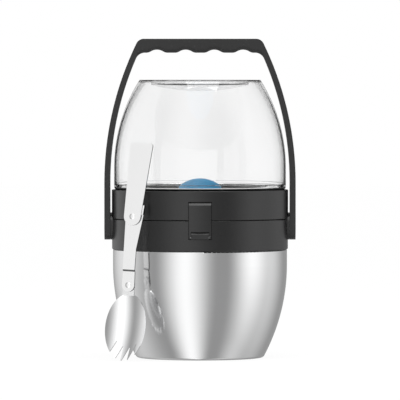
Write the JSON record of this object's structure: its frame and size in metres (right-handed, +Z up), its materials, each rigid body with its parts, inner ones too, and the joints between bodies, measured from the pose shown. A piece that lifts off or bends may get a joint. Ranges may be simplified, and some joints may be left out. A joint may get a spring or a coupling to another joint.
{
  "type": "insulated food jar",
  "caption": "Double-walled steel food jar with a hinged lid, a clear bowl on the lid, a bail handle, a latch, a vent button and a folding spork.",
  "frame": {"origin": "centre of the jar's flat underside, on the surface it stands on", "axes": "+Z up along the jar's axis, front of the jar with its latch towards -Y, +X to the right seen from the front"},
  "size_m": [0.1376, 0.1343, 0.2295],
  "materials": {
    "shell_steel": "brushed round the axis",
    "liner_steel": "satin",
    "spork_steel": "polished",
    "pin_steel": "plain",
    "charcoal": "satin",
    "stopper_plastic": "satin",
    "foam": "closed-cell foam",
    "clear_silicone": "satin",
    "black_rubber": "matte",
    "blue_silicone": "satin",
    "clear_plastic": "clear, polished"
  },
  "bodies": {
    "jar": {"outer_shell": "shell_steel", "inner_liner": "liner_steel", "base_disc": "shell_steel", "vacuum_seal": "pin_steel", "lower_collar": "charcoal", "hinge_pin": "pin_steel", "latch_pin": "pin_steel"},
    "lid": {"upper_collar": "charcoal", "lid_plate": "charcoal", "stopper_cup": "stopper_plastic", "stopper_foam": "foam", "stopper_gasket": "clear_silicone", "bowl_gasket": "black_rubber", "handle_pivots": "pin_steel", "vent_spring": "pin_steel"},
    "handle": {"bail_handle": "charcoal"},
    "latch": {"latch": "charcoal"},
    "bowl": {"clear_bowl": "clear_plastic"},
    "vent": {"vent_button": "blue_silicone", "vent_seal": "clear_silicone"},
    "spork_link": {"spork_link": "spork_steel", "spork_rivets": "spork_steel"},
    "spork_grip": {"spork_grip": "spork_steel"},
    "spork_bowl": {"spork_bowl": "spork_steel"}
  },
  "joints": [
    {"name": "lid_hinge", "type": "hinge", "parent": "jar", "child": "lid", "pos_m": [0, 0.06705, 0.1], "axis": [-1, 0, 0], "range_deg": [0, 95]},
    {"name": "handle_swing", "type": "hinge", "parent": "lid", "child": "handle", "pos_m": [0, 0, 0.0947], "axis": [1, 0, 0], "range_deg": [-95, 95]},
    {"name": "latch_flip", "type": "hinge", "parent": "jar", "child": "latch", "pos_m": [0, -0.06254, 0.08805], "axis": [1, 0, 0], "range_deg": [0, 100]},
    {"name": "bowl_turn", "type": "hinge", "parent": "lid", "child": "bowl", "pos_m": [0, 0, 0.1227], "axis": [0, 0, 1], "range_deg": [0, 45]},
    {"name": "vent_press", "type": "slide", "parent": "lid", "child": "vent", "axis": [0, 0, -1], "range_m": [0, 0.002], "stiffness_N_per_m": 500, "springref_m": -0.002, "deforming": ["vent_spring"]},
    {"name": "spork_away", "type": "slide", "parent": "jar", "child": "spork_link", "axis": [-0.342, -0.9397, 0], "range_m": [0, 0.08]},
    {"name": "spork_grip_fold", "type": "hinge", "parent": "spork_link", "child": "spork_grip", "pos_m": [-0.04776, -0.05115, 0.10288], "axis": [-0.3404, -0.9352, 0.0976], "range_deg": [0, 180]},
    {"name": "spork_bowl_fold", "type": "hinge", "parent": "spork_link", "child": "spork_bowl", "pos_m": [-0.0507, -0.05276, 0.05415], "axis": [0.3404, 0.9352, -0.0976], "range_deg": [0, 172]}
  ]
}
